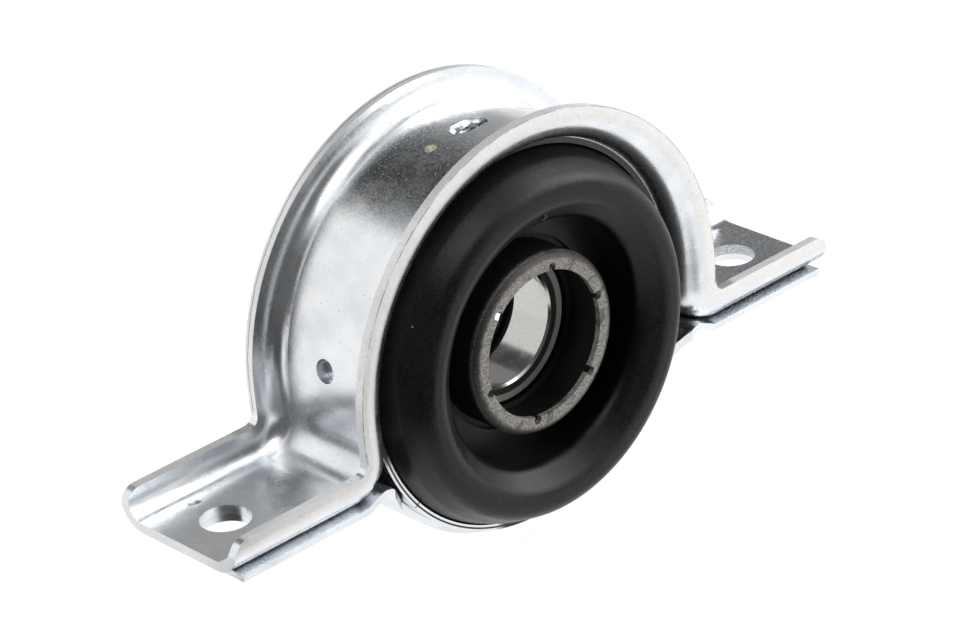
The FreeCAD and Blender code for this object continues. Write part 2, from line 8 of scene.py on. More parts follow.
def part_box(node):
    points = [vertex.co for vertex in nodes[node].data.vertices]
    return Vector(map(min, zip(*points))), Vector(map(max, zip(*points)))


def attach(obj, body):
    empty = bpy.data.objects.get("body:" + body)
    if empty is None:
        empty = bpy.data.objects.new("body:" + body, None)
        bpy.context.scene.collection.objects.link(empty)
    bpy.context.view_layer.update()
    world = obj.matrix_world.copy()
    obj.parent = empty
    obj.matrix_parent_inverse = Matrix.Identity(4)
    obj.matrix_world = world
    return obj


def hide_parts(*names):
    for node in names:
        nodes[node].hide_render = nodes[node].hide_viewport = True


# Looks of the driveshaft centre bearing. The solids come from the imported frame, in metres: X runs from
# foot to foot, Y along the shaft with the front at -Y, and Z is up.

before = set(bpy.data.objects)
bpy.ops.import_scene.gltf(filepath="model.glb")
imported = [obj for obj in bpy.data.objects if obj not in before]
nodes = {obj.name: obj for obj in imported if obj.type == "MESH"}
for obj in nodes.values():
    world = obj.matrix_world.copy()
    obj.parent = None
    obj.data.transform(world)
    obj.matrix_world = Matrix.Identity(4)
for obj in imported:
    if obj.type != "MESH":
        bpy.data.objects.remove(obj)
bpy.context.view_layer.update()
MM = 0.001

# Places read from the boxes of the solids.
bracket_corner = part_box("upper_bracket")[1]
FOOT_END = bracket_corner.x
FLANGE_RADIUS = bracket_corner.z
BRACKET_FACE = bracket_corner.y
FLOOR_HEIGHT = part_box("lower_bracket")[0].z
RING_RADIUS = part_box("outer_ring")[1].x
RING_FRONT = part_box("outer_ring")[0].y
CREST_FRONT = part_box("rubber_cushion")[0].y
NOSE_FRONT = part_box("inner_sleeve")[0].y
BEARING_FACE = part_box("bearing_inner_race")[1].y

# Sizes that no box gives.
NOSE_RADIUS = 23.0 * MM
NOSE_OPENING = 18.5 * MM
BRACKET_SHEET = 2.5 * MM
WEB_RADIUS = RING_RADIUS + BRACKET_SHEET
FOOT_TOP = -16.4 * MM
FOOT_RIM = FOOT_TOP + FLANGE_RADIUS - WEB_RADIUS
BEND_END = 64 * MM
ARCH_BOTTOM = -8 * MM
THROAT_EDGE = 36 * MM
# Radius where the pale painted reflection on the race faces begins.
PALE_FACE_RADIUS = 17.1 * MM

# Marks, films and painted reflection on the plating. Angles run round the shaft line from +X towards +Z, in
# degrees.
PAINT_ANGLE = 103.8
PAINT_RADIUS = 1.8 * MM
# Ends of the darker patch on top of the arch, which is partly a darker film and partly painted reflection of
# the dark room above.
FILM_AND_REFLECTION_RIGHT_END = (98, 112)
FILM_AND_REFLECTION_LEFT_END = (126, 142)
FILM_AND_REFLECTION_BACK_END = (10 * MM, 16 * MM)
BARE_RING_ANGLE = -132
BARE_RING_REACH = (26, 31)

# Colours of the looks: red, green and blue from 0 to 1 in linear light, with opacity where a fourth stands.
ZINC_PALE = (0.90, 0.912, 0.925)
ZINC_BLUE = (0.80, 0.835, 0.87)
ZINC_GRAIN = (0.62, 0.66, 0.70)
ZINC_PIT = (0.22, 0.21, 0.20)
# Grey of the darker patches: partly a film, partly painted reflection.
FILM_AND_REFLECTION_GREY = (0.165, 0.175, 0.18)
FILM_NICK = (0.95, 0.95, 0.95)
CHALK_DARK = (0.80, 0.79, 0.772)
CHALK_PALE = (0.89, 0.884, 0.872)
SHEARED_PALE = (0.95, 0.945, 0.935)
SHEARED_GREY = (0.84, 0.838, 0.83)
# Painted shade along the rounded corner of the arch's rim.
EDGE_SHADE_LINE = (0.16, 0.155, 0.15)
PAINT_YELLOW = (0.80, 0.74, 0.52)
RUBBER_FILM = (0.008, 0.008, 0.009)
RUBBER_BLACK = (0.004, 0.0041, 0.0043)
RUBBER_BLOTCH = (0.008, 0.008, 0.0083)
RUBBER_GRAIN = (0.022, 0.022, 0.0225)
# Painted shade deep in the cushion's throat.
RUBBER_THROAT_SHADE = (0.002, 0.002, 0.0021)
RUBBER_DUST = (0.55, 0.55, 0.52)
SEAL_DARK = (0.002, 0.0021, 0.0022)
SEAL_PALE = (0.005, 0.0051, 0.0053)
HOUSING_DARK = (0.12, 0.113, 0.103)
HOUSING_PALE = (0.52, 0.50, 0.465)
# Painted shade on the nose's rounded outer edge.
HOUSING_EDGE_SHADE = (0.03, 0.029, 0.028)
HOUSING_GRIME = (0.035, 0.033, 0.030)
# Painted shade: the housing behind the nose's front.
HOUSING_SHADE_BEHIND = (0.05, 0.05, 0.052)
BORE_PALE = (0.62, 0.61, 0.59)
BORE_DARK = (0.50, 0.49, 0.47)
# Race faces: painted shadow near the bore and painted reflection further out.
FACE_PAINTED_SHADOW = (0.06, 0.058, 0.055)
FACE_PAINTED_REFLECTION = (0.62, 0.585, 0.52)
CAGE_DARK = (0.62, 0.58, 0.46)
CAGE_PALE = (0.70, 0.66, 0.55)
WELD_BRIGHT = (0.80, 0.81, 0.83)
WELD_BURNT = (0.10, 0.10, 0.11)
ROOM_COLOUR = (0.92, 0.95, 1.0, 1.0)
FLOOR_COLOUR = (0.92, 0.92, 0.92, 1.0)
WHITE = (1.0, 1.0, 1.0, 1.0)

# The studio: how bright the room and the floor's glow are, the share of the floor that glows, and how far
# the floor and the cards that lie on it are below the part.
ROOM_STRENGTH = 0.4
FLOOR_GLOW = 1.18
FLOOR_GLOW_SHARE = 0.80
FLOOR_DROP = 0.2 * MM
CARD_DROP = 0.1 * MM

# The camera stands where the photograph was taken from: angles in degrees, lengths in metres.
VIEW_AZIMUTH = -41.16
VIEW_ELEVATION = 26.95
VIEW_ROLL = -5.26
VIEW_DISTANCE = 0.9318
VIEW_TARGET = Vector((-0.0037, -0.0020, 0.0023))
LENS = 145.6
SENSOR_WIDTH = 36.0


class Look:
    """A material under construction. Most methods add shader nodes and give back their output."""

    # How soft marks are: where a dot and a nearness begin to fade, as shares of their reach, and where a
    # stroke begins and ends to fade, in widths of its cell.
    DOT_CORE = 0.5
    NEAR_CORE = 0.6
    STROKE_FADE = (0.12, 0.3)

    def __init__(self, name):
        self.material = bpy.data.materials.new(name)
        self.material.use_nodes = True
        self.tree = self.material.node_tree
        self.tree.nodes.clear()
        output = self.add("ShaderNodeOutputMaterial")
        self.shader = self.add("ShaderNodeBsdfPrincipled")
        self.tree.links.new(self.shader.outputs["BSDF"], output.inputs["Surface"])
        self.place = self.add("ShaderNodeTexCoord").outputs["Object"]
        parts = self.add("ShaderNodeSeparateXYZ")
        self.tree.links.new(self.place, parts.inputs[0])
        self.x, self.y, self.z = parts.outputs

    def add(self, kind, **settings):
        """A new node of a kind, with its settings made."""
        node = self.tree.nodes.new(kind)
        for key, value in settings.items():
            setattr(node, key, value)
        return node

    def feed(self, socket, value):
        """Links an output to a socket, or sets the socket's own value."""
        if isinstance(value, bpy.types.NodeSocket):
            self.tree.links.new(value, socket)
        else:
            socket.default_value = value

    def maths(self, operation, *values):
        """The result of a sum on outputs or numbers."""
        node = self.add("ShaderNodeMath", operation=operation)
        for socket, value in zip(node.inputs, values):
            self.feed(socket, value)
        return node.outputs[0]

    def radius(self):
        """Distance from the shaft line."""
        squares = self.maths("ADD", self.maths("POWER", self.x, 2.0), self.maths("POWER", self.z, 2.0))
        return self.maths("SQRT", squares)

    def angle(self):
        """Angle round the shaft line in radians, from +X towards +Z."""
        return self.maths("ARCTAN2", self.z, self.x)

    def vector(self, x, y, z):
        """A place made of three outputs or numbers."""
        node = self.add("ShaderNodeCombineXYZ")
        for socket, value in zip(node.inputs, (x, y, z)):
            self.feed(socket, value)
        return node.outputs[0]

    def moved(self, offset=(0, 0, 0), turn=(0, 0, 0), scale=(1, 1, 1)):
        """The place on the object, shifted, turned and scaled."""
        node = self.add("ShaderNodeMapping")
        self.feed(node.inputs["Vector"], self.place)
        node.inputs["Location"].default_value = offset
        node.inputs["Rotation"].default_value = turn
        node.inputs["Scale"].default_value = scale
        return node.outputs[0]

    def clouds(self, size, detail=3.0, roughness=0.55, place=None, distortion=0.0):
        """Noise from 0 to 1 whose lumps are about size metres wide."""
        node = self.add("ShaderNodeTexNoise")
        self.feed(node.inputs["Vector"], place or self.place)
        node.inputs["Scale"].default_value = 1 / size
        node.inputs["Detail"].default_value = detail
        node.inputs["Roughness"].default_value = roughness
        node.inputs["Distortion"].default_value = distortion
        return node.outputs["Fac"]

    def cells(self, size, place=None):
        """The distance to the nearest of points about size metres apart, in units of size, and its colour."""
        node = self.add("ShaderNodeTexVoronoi")
        self.feed(node.inputs["Vector"], place or self.place)
        node.inputs["Scale"].default_value = 1 / size
        return node.outputs["Distance"], node.outputs["Color"]

    def fade(self, value, start, end, low=0.0, high=1.0):
        """low where value is under start, high where it is over end, and a smooth step between."""
        node = self.add("ShaderNodeMapRange", interpolation_type="SMOOTHSTEP")
        self.feed(node.inputs["Value"], value)
        for name, number in (("From Min", start), ("From Max", end), ("To Min", low), ("To Max", high)):
            node.inputs[name].default_value = number
        return node.outputs["Result"]

    def fall(self, value, start, end):
        """1 where value is under start, 0 where it is over end, and a smooth step between."""
        return self.fade(value, start, end, 1.0, 0.0)

    def between(self, value, first, second):
        """1 where value lies between two smooth steps, each given by its start and end."""
        return self.both(self.fade(value, *first), self.fall(value, *second))

    def raised(self, value, mask, amount):
        """A value that is amount higher where the mask is 1."""
        return self.maths("ADD", value, self.maths("MULTIPLY", mask, amount))

    def blend(self, share, first, second):
        """A colour between two."""
        node = self.add("ShaderNodeMix", data_type="RGBA")
        self.feed(node.inputs["Factor"], share)
        for socket, value in ((node.inputs[6], first), (node.inputs[7], second)):
            self.feed(socket, (*value, 1.0) if isinstance(value, tuple) else value)
        return node.outputs[2]

    def specks(self, size, share, radius, place=None):
        """1 on scattered dots: share of the cells hold one, of the given radius in cell widths."""
        distance, colour = self.cells(size, place)
        parts = self.add("ShaderNodeSeparateColor")
        self.feed(parts.inputs[0], colour)
        chosen = self.maths("LESS_THAN", parts.outputs[0], share)
        dot = self.fall(distance, radius * self.DOT_CORE, radius)
        return self.maths("MULTIPLY", chosen, dot)

    def scratches(self, length, width, turn, share):
        """1 on short thin strokes that all run one way."""
        place = self.moved(turn=turn, scale=(1 / length, 1 / width, 1 / width))
        distance, colour = self.cells(1.0, place)
        parts = self.add("ShaderNodeSeparateColor")
        self.feed(parts.inputs[0], colour)
        chosen = self.maths("LESS_THAN", parts.outputs[1], share)
        stroke = self.fall(distance, *self.STROKE_FADE)
        return self.maths("MULTIPLY", chosen, stroke)

    def near(self, point, reach):
        """1 at a point, fading to 0 at reach metres from it."""
        node = self.add("ShaderNodeVectorMath", operation="DISTANCE")
        self.feed(node.inputs[0], self.place)
        node.inputs[1].default_value = point
        return self.fall(node.outputs["Value"], reach * self.NEAR_CORE, reach)

    def any_of(self, *masks):
        """1 where any of the masks is 1."""
        result = masks[0]
        for mask in masks[1:]:
            result = self.maths("MAXIMUM", result, mask)
        return result

    def both(self, first, second):
        """1 where both masks are 1."""
        return self.maths("MULTIPLY", first, second)

    def bump(self, height, depth, below=None):
        """A relief whose height of 1 is depth metres, laid over an earlier one."""
        node = self.add("ShaderNodeBump")
        node.inputs["Distance"].default_value = depth
        self.feed(node.inputs["Height"], height)
        if below is not None:
            self.feed(node.inputs["Normal"], below)
        return node.outputs["Normal"]

    def set(self, **inputs):
        """Sets inputs of the shader by name, with underscores for spaces."""
        for name, value in inputs.items():
            socket = self.shader.inputs[name.replace("_", " ")]
            self.feed(socket, (*value, 1.0) if isinstance(value, tuple) and len(value) == 3 else value)
        return self.material


def zinc_plate(name, seed, sheared=None, marks=None, film_and_reflection=None, front=None, rubbered=None):
    """Bright zinc plate: smooth bluish metal with fine grain, pits and scuffs.

    The functions sheared, marks, film_and_reflection and rubbered give masks: of the sheet's cut edges and a
    dark line of painted shade along them, of stained spots, of darker speckled areas that are partly a film
    and partly painted reflection, and of a black film. front is the Y of the face whose plating is matt and a
    little warm.
    """
    look = Look(name)
    shifted = look.moved(offset=(seed, seed, seed))
    cloud = look.clouds(14 * MM, detail=3.0, place=shifted, distortion=0.3)
    fine = look.clouds(0.5 * MM, detail=2.0, place=shifted)
    colour = look.blend(look.fade(cloud, 0.32, 0.70), ZINC_PALE, ZINC_BLUE)
    colour = look.blend(look.fade(fine, 0.35, 0.75, 0.0, 0.20), colour, ZINC_GRAIN)
    pits = look.specks(1.3 * MM, 0.16, 0.15, shifted)
    patchy = look.fade(look.clouds(16 * MM, place=shifted), 0.48, 0.62)
    scuffs = look.any_of(
        look.scratches(3.6 * MM, 0.20 * MM, (0.3, 0.5, 1.0), 0.05),
        look.scratches(2.4 * MM, 0.16 * MM, (1.4, 0.2, -0.6), 0.05),
    )
    scuffs = look.both(scuffs, patchy)
    roughness = look.fade(look.clouds(7 * MM, detail=5.0, place=shifted), 0.3, 0.7, 0.22, 0.31)
    # Darker speckled patches, partly a film and partly painted reflection of dark surroundings.
    if film_and_reflection is not None:
        film = film_and_reflection(look)
        grain = look.fade(look.clouds(0.7 * MM, detail=5.0, roughness=0.7, place=shifted), 0.40, 0.62)
        cover = look.raised(0.55, grain, 0.40)
        colour = look.blend(look.both(film, cover), colour, FILM_AND_REFLECTION_GREY)
        nicks = look.any_of(
            look.specks(0.9 * MM, 0.42, 0.17, shifted),
            look.scratches(2.6 * MM, 0.24 * MM, (0.2, 0.9, 0.4), 0.20),
            look.scratches(1.8 * MM, 0.22 * MM, (1.0, -0.4, 1.3), 0.16),
        )
        nicks = look.both(film, nicks)
        colour = look.blend(look.maths("MULTIPLY", nicks, 0.9), colour, FILM_NICK)
        roughness = look.raised(roughness, nicks, 0.35)
    if front is not None:
        matt = look.fall(look.y, front + 0.05 * MM, front + 0.6 * MM)
        chalky = look.blend(look.fade(fine, 0.3, 0.7), CHALK_DARK, CHALK_PALE)
        colour = look.blend(matt, colour, chalky)
        roughness = look.raised(roughness, matt, 0.16)
    colour = look.blend(look.maths("MULTIPLY", pits, 0.7), colour, ZINC_PIT)
    roughness = look.raised(roughness, scuffs, 0.22)
    metallic = 1.0
    if sheared is not None:
        edge, line = sheared(look)
        metallic = look.raised(metallic, edge, -0.25)
        streaks = look.clouds(0.6 * MM, detail=4.0, roughness=0.7, place=shifted)
        worn = look.blend(look.fade(streaks, 0.40, 0.62), SHEARED_PALE, SHEARED_GREY)
        colour = look.blend(edge, colour, worn)
        # The dark line is painted shade on the rim's rounded corner.
        colour = look.blend(look.maths("MULTIPLY", line, 0.8), colour, EDGE_SHADE_LINE)
        roughness = look.raised(roughness, edge, 0.16)
    if marks is not None:
        stain = marks(look)
        colour = look.blend(stain, colour, PAINT_YELLOW)
        roughness = look.raised(roughness, stain, 0.3)
    if rubbered is not None:
        film = rubbered(look)
        metallic = look.maths("SUBTRACT", metallic, film)
        colour = look.blend(film, colour, RUBBER_FILM)
    normal = look.bump(look.clouds(12 * MM, detail=1.0, place=shifted), 0.08 * MM)
    normal = look.bump(look.clouds(0.35 * MM, detail=3.0, place=shifted), 0.020 * MM, normal)
    normal = look.bump(look.any_of(pits, scuffs), -0.010 * MM, normal)
    return look.set(Base_Color=colour, Metallic=metallic, Roughness=roughness, Normal=normal)


def bracket_edges(look):
    """The sheared rims and ends of the sheet, and a broken dark line of painted shade along the arch's rim,
    where its corner rounds over.
    """
    arch_rim = look.both(
        look.fade(look.radius(), FLANGE_RADIUS - 0.25 * MM, FLANGE_RADIUS - 0.05 * MM),
        look.fade(look.z, ARCH_BOTTOM, ARCH_BOTTOM + 2 * MM),
    )
    from_middle = look.maths("ABSOLUTE", look.x)
    foot_rim = look.both(
        look.fade(look.z, FOOT_RIM - 0.25 * MM, FOOT_RIM - 0.05 * MM),
        look.fade(from_middle, BEND_END, BEND_END + 2 * MM),
    )
    foot_end = look.fade(from_middle, FOOT_END - 0.2 * MM, FOOT_END - 0.05 * MM)
    wander = look.clouds(6 * MM, detail=3.0)
    along = look.maths("ABSOLUTE", look.raised(look.y, wander, 0.9 * MM))
    from_face = look.maths("SUBTRACT", BRACKET_FACE, along)
    thin = look.between(from_face, (0.2 * MM, 0.35 * MM), (0.45 * MM, 0.6 * MM))
    broken = look.fade(look.clouds(2.5 * MM, detail=4.0), 0.28, 0.42, 0.35, 1.0)
    edge = look.any_of(arch_rim, foot_rim, foot_end)
    return edge, look.both(look.both(arch_rim, thin), broken)


def bracket_marks(look):
    """A dab of pale yellow paint on top of the arch, ragged at its edge."""
    angle = math.radians(PAINT_ANGLE)
    dab = look.near((WEB_RADIUS * math.cos(angle), 0.0, WEB_RADIUS * math.sin(angle)), PAINT_RADIUS)
    ragged = look.fade(look.clouds(0.9 * MM, detail=4.0), 0.36, 0.50)
    return look.both(dab, ragged)


def bracket_film_and_reflection(look):
    """Darker speckled patches: on top of the arch partly a darker film and partly painted reflection of the
    dark room above, and on the right foot painted reflection of the arch's leg.
    """
    grain = look.clouds(0.8 * MM, detail=5.0, roughness=0.75)
    angle = look.raised(look.angle(), grain, 0.30)
    ends = look.between(
        angle,
        [math.radians(end) for end in FILM_AND_REFLECTION_RIGHT_END],
        [math.radians(end) for end in FILM_AND_REFLECTION_LEFT_END],
    )
    before_back = look.fall(look.raised(look.y, grain, 3 * MM), *FILM_AND_REFLECTION_BACK_END)
    on_web = look.fall(look.radius(), WEB_RADIUS + 0.8 * MM, WEB_RADIUS + 1.6 * MM)
    arch = look.both(ends, look.both(before_back, on_web))
    # Painted reflection of the arch's right leg on the right foot's floor.
    foot = look.both(
        look.fade(look.x, BEND_END - 6 * MM, BEND_END),
        look.fade(look.z, FOOT_TOP + 0.9 * MM, FOOT_TOP + 1.9 * MM, 0.75, 0.0),
    )
    return look.any_of(arch, foot)


def ring_film(look):
    """Rubber left by the moulding on the ring's front edge, but for a bare stretch low on the left."""
    radius = look.radius()
    front = look.fall(look.y, RING_FRONT + 2.2 * MM, RING_FRONT + 3.0 * MM)
    inside = look.fall(radius, RING_RADIUS - 0.20 * MM, RING_RADIUS - 0.05 * MM)
    angle = look.raised(look.angle(), look.clouds(3 * MM, detail=4.0), 0.08)
    from_bare = look.maths("ABSOLUTE", look.maths("SUBTRACT", angle, math.radians(BARE_RING_ANGLE)))
    covered = look.fade(from_bare, *(math.radians(reach) for reach in BARE_RING_REACH))
    strip = look.between(
        radius,
        (RING_RADIUS - 1.15 * MM, RING_RADIUS - 1.0 * MM),
        (RING_RADIUS - 0.70 * MM, RING_RADIUS - 0.55 * MM),
    )
    return look.both(front, look.any_of(look.both(covered, inside), strip))


def moulded_rubber():
    """Black moulded rubber: satin, with faint flow rings, fine grain, a few white dust specks and painted
    shade deep in the throat.
    """
    look = Look("cushion_rubber_look")
    radius = look.radius()
    turned = look.vector(radius, look.y, look.maths("MULTIPLY", look.angle(), 0.01))
    rings = look.clouds(2.2 * MM, detail=3.0, place=turned)
    blotches = look.clouds(9 * MM, detail=4.0, distortion=0.5)
    dust = look.specks(5.0 * MM, 0.10, 0.045)
    grain = look.clouds(0.5 * MM, detail=3.0, roughness=0.7)
    colour = look.blend(look.fade(blotches, 0.35, 0.7), RUBBER_BLACK, RUBBER_BLOTCH)
    colour = look.blend(look.fade(grain, 0.42, 0.62, 0.0, 0.6), colour, RUBBER_GRAIN)
    # Painted shade: darker deep inside the throat.
    throat_shade = look.both(
        look.fall(radius, THROAT_EDGE, THROAT_EDGE + 2.0 * MM),
        look.fade(look.y, CREST_FRONT + 2.0 * MM, CREST_FRONT + 4.5 * MM),
    )
    colour = look.blend(throat_shade, colour, RUBBER_THROAT_SHADE)
    colour = look.blend(dust, colour, RUBBER_DUST)
    holes = look.specks(4.2 * MM, 0.12, 0.06)
    roughness = look.fade(blotches, 0.3, 0.7, 0.27, 0.37)
    normal = look.bump(rings, 0.05 * MM)
    normal = look.bump(grain, 0.06 * MM, normal)
    normal = look.bump(holes, -0.12 * MM, normal)
    return look.set(Base_Color=colour, Roughness=roughness, Specular_IOR_Level=0.24, Normal=normal)


def seal_rubber():
    """Dull black rubber of the seals, which hardly shines."""
    look = Look("seal_rubber_look")
    colour = look.blend(look.clouds(3 * MM), SEAL_DARK, SEAL_PALE)
    normal = look.bump(look.clouds(0.4 * MM), 0.02 * MM)
    return look.set(Base_Color=colour, Roughness=0.5, Specular_IOR_Level=0.12, Normal=normal)


def housing_steel():
    """Phosphated housing: mottled warm grey with grime in front, a dark band of painted shade on the rounded
    outer edge, and painted shade that makes it near black behind.
    """
    look = Look("housing_steel_look")
    radius = look.radius()
    mottle = look.clouds(0.5 * MM, detail=6.0, roughness=0.85)
    broad = look.clouds(5 * MM, detail=3.0, distortion=0.8)
    colour = look.blend(look.fade(mottle, 0.38, 0.64), HOUSING_DARK, HOUSING_PALE)
    # A dark band of painted shade on the nose's rounded outer edge.
    outer_edge_shade = look.between(
        radius,
        (NOSE_RADIUS - 2.4 * MM, NOSE_RADIUS - 1.0 * MM),
        (NOSE_RADIUS - 0.35 * MM, NOSE_RADIUS - 0.15 * MM),
    )
    colour = look.blend(look.maths("MULTIPLY", outer_edge_shade, 0.80), colour, HOUSING_EDGE_SHADE)
    pits = look.specks(0.9 * MM, 0.25, 0.22)
    residue = look.fade(broad, 0.58, 0.70)
    at_rim = look.fall(radius, NOSE_OPENING + 0.1 * MM, NOSE_OPENING + 1.1 * MM)
    grime = look.any_of(look.both(residue, look.fade(mottle, 0.42, 0.55)), look.both(at_rim, residue), pits)
    colour = look.blend(look.maths("MULTIPLY", grime, 0.85), colour, HOUSING_GRIME)
    # Painted shade: near black behind the front of the nose.
    on_front = look.fall(look.y, NOSE_FRONT + 1.2 * MM, NOSE_FRONT + 2.6 * MM)
    colour = look.blend(on_front, HOUSING_SHADE_BEHIND, colour)
    roughness = look.fade(mottle, 0.3, 0.7, 0.42, 0.60)
    normal = look.bump(mottle, 0.10 * MM)
    normal = look.bump(pits, -0.05 * MM, normal)
    return look.set(Base_Color=colour, Metallic=0.8, Roughness=roughness, Normal=normal)


def ground_steel():
    """Bearing steel: ground bore with fine lines round it, and rougher race faces painted dark near the bore
    as shadow and pale further out as reflection.
    """
    look = Look("bearing_steel_look")
    radius = look.radius()
    lines = look.vector(radius, look.y, look.maths("MULTIPLY", look.angle(), 0.0015))
    grinding = look.clouds(0.12 * MM, detail=4.0, place=lines)
    colour = look.blend(look.fade(grinding, 0.3, 0.7), BORE_PALE, BORE_DARK)
    on_face = look.fade(look.maths("ABSOLUTE", look.y), BEARING_FACE - 0.12 * MM, BEARING_FACE - 0.02 * MM)
    # The race faces: painted shadow near the bore, a pale painted reflection further out.
    outer_half = look.fade(radius, PALE_FACE_RADIUS, PALE_FACE_RADIUS + 0.5 * MM)
    face = look.blend(outer_half, FACE_PAINTED_SHADOW, FACE_PAINTED_REFLECTION)
    colour = look.blend(on_face, colour, face)
    metallic = look.raised(1.0, on_face, -0.7)
    roughness = look.fade(look.clouds(3 * MM), 0.3, 0.7, 0.14, 0.22)
    roughness = look.raised(roughness, on_face, 0.25)
    normal = look.bump(grinding, 0.004 * MM)
    return look.set(Base_Color=colour, Metallic=metallic, Roughness=roughness, Normal=normal)


def cage_plastic():
    """Moulded cream plastic of the ball cage."""
    look = Look("cage_plastic_look")
    colour = look.blend(look.clouds(2 * MM), CAGE_DARK, CAGE_PALE)
    return look.set(Base_Color=colour, Roughness=0.45)


def weld_metal():
    """Bare weld: bright, lumpy and partly burnt."""
    look = Look("weld_metal_look")
    burnt = look.fade(look.clouds(1.4 * MM, detail=4.0), 0.46, 0.60)
    colour = look.blend(burnt, WELD_BRIGHT, WELD_BURNT)
    normal = look.bump(look.clouds(0.6 * MM, detail=3.0), 0.10 * MM)
    return look.set(Base_Color=colour, Metallic=1.0, Roughness=0.22, Normal=normal)


def dress(node_name, material):
    """Gives a solid of the frame its material."""
    mesh = nodes[node_name].data
    mesh.materials.clear()
    mesh.materials.append(material)


def put_in_scene(name, data):
    """An object of the given mesh, lamp or camera."""
    item = bpy.data.objects.new(name, data)
    bpy.context.scene.collection.objects.link(item)
    return item


def emptied_tree(owner, output_kind):
    """The node tree of a material or world, with nothing in it but an output, and that output's socket."""
    owner.use_nodes = True
    tree = owner.node_tree
    tree.nodes.clear()
    return tree, tree.nodes.new(output_kind).inputs["Surface"]


def new_piece(name, build, material):
    """A smooth object made by a function that fills a bmesh, riding on the housing."""
    mesh = bpy.data.meshes.new(name)
    work = bmesh.new()
    build(work)
    bmesh.ops.recalc_face_normals(work, faces=work.faces)
    work.to_mesh(mesh)
    work.free()
    mesh.materials.append(material)
    piece = put_in_scene(name, mesh)
    for polygon in mesh.polygons:
        polygon.use_smooth = True
    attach(piece, "housing")
    return piece


def weld_bead(work):
    """Lumpy weld metal in the bracket's slot: an oblong grid raised by noise, with a flat bottom."""
    low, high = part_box("plug_weld")
    half_length, half_width = high.x, high.y
    straight = half_length - half_width
    rings, spokes = 14, 72
    edge_height, crown_height, lump_height = 0.75 * MM, 0.75 * MM, 0.55 * MM
    lump_size = 1.9 * MM
    smoothness, step_between_octaves, octaves = 0.7, 2.1, 4
    top_rows = []
    for ring in range(1, rings + 1):
        share = ring / rings
        row = []
        for spoke in range(spokes):
            turn = 2 * math.pi * spoke / spokes
            x = share * (half_width * math.cos(turn) + math.copysign(straight, math.cos(turn)))
            y = share * half_width * math.sin(turn)
            lump = noise.fractal(
                Vector((x, y, 0.0)) / lump_size, smoothness, step_between_octaves, octaves
            )
            crown = 1.0 - share ** 3
            z = low.z + edge_height + (crown_height + lump_height * lump) * crown
            row.append(work.verts.new((x, y, z)))
        top_rows.append(row)
    centre = work.verts.new((0.0, 0.0, low.z + edge_height + crown_height))
    first = top_rows[0]
    for spoke in range(spokes):
        work.faces.new((centre, first[spoke], first[(spoke + 1) % spokes]))
    for inner, outer in zip(top_rows, top_rows[1:]):
        for spoke in range(spokes):
            after = (spoke + 1) % spokes
            work.faces.new((inner[spoke], outer[spoke], outer[after], inner[after]))
    bottom = [work.verts.new((vertex.co.x, vertex.co.y, low.z)) for vertex in top_rows[-1]]
    for spoke in range(spokes):
        after = (spoke + 1) % spokes
        work.faces.new((top_rows[-1][spoke], bottom[spoke], bottom[after], top_rows[-1][after]))
    work.faces.new(list(reversed(bottom)))


def white_for_views(tree, plain, bright):
    """Mixes two shaders so that camera, glossy and transmission rays see the bright one."""
    path = tree.nodes.new("ShaderNodeLightPath")
    seen = path.outputs["Is Camera Ray"]
    for name in ("Is Glossy Ray", "Is Transmission Ray"):
        either = tree.nodes.new("ShaderNodeMath")
        either.operation = "MAXIMUM"
        tree.links.new(seen, either.inputs[0])
        tree.links.new(path.outputs[name], either.inputs[1])
        seen = either.outputs[0]
    mix = tree.nodes.new("ShaderNodeMixShader")
    tree.links.new(seen, mix.inputs[0])
    tree.links.new(plain, mix.inputs[1])
    tree.links.new(bright, mix.inputs[2])
    return mix.outputs[0]


def make_world():
    """A dim, slightly cool room that cameras and reflections see as white."""
    world = bpy.data.worlds.new("studio")
    tree, surface = emptied_tree(world, "ShaderNodeOutputWorld")
    dim = tree.nodes.new("ShaderNodeBackground")
    dim.inputs["Color"].default_value = ROOM_COLOUR
    dim.inputs["Strength"].default_value = ROOM_STRENGTH
    bright = tree.nodes.new("ShaderNodeBackground")
    bright.inputs["Color"].default_value = WHITE
    tree.links.new(white_for_views(tree, dim.outputs[0], bright.outputs[0]), surface)
    bpy.context.scene.world = world


def make_floor():
    """White table under the part. It shows mostly as plain white and keeps a faint shadow."""
    mesh = bpy.data.meshes.new("floor")
    reach = 6.0
    corners = [(-reach, -reach), (reach, -reach), (reach, reach), (-reach, reach)]
    mesh.from_pydata([(x, y, FLOOR_HEIGHT - FLOOR_DROP) for x, y in corners], [], [(0, 1, 2, 3)])
    floor = put_in_scene("floor", mesh)
    material = bpy.data.materials.new("floor_look")
    tree, surface = emptied_tree(material, "ShaderNodeOutputMaterial")
    matt = tree.nodes.new("ShaderNodeBsdfDiffuse")
    matt.inputs["Color"].default_value = FLOOR_COLOUR
    glow = tree.nodes.new("ShaderNodeEmission")
    glow.inputs["Color"].default_value = WHITE
    glow.inputs["Strength"].default_value = FLOOR_GLOW
    pale = tree.nodes.new("ShaderNodeMixShader")
    pale.inputs[0].default_value = FLOOR_GLOW_SHARE
    tree.links.new(matt.outputs[0], pale.inputs[1])
    tree.links.new(glow.outputs[0], pale.inputs[2])
    tree.links.new(white_for_views(tree, matt.outputs[0], pale.outputs[0]), surface)
    mesh.materials.append(material)


def direction(azimuth, elevation):
    """A unit vector: azimuth 0 points to the front, 90 to +X; angles in degrees."""
    turn, rise = math.radians(azimuth), math.radians(elevation)
    return Vector((math.sin(turn) * math.cos(rise), -math.cos(turn) * math.cos(rise), math.sin(rise)))


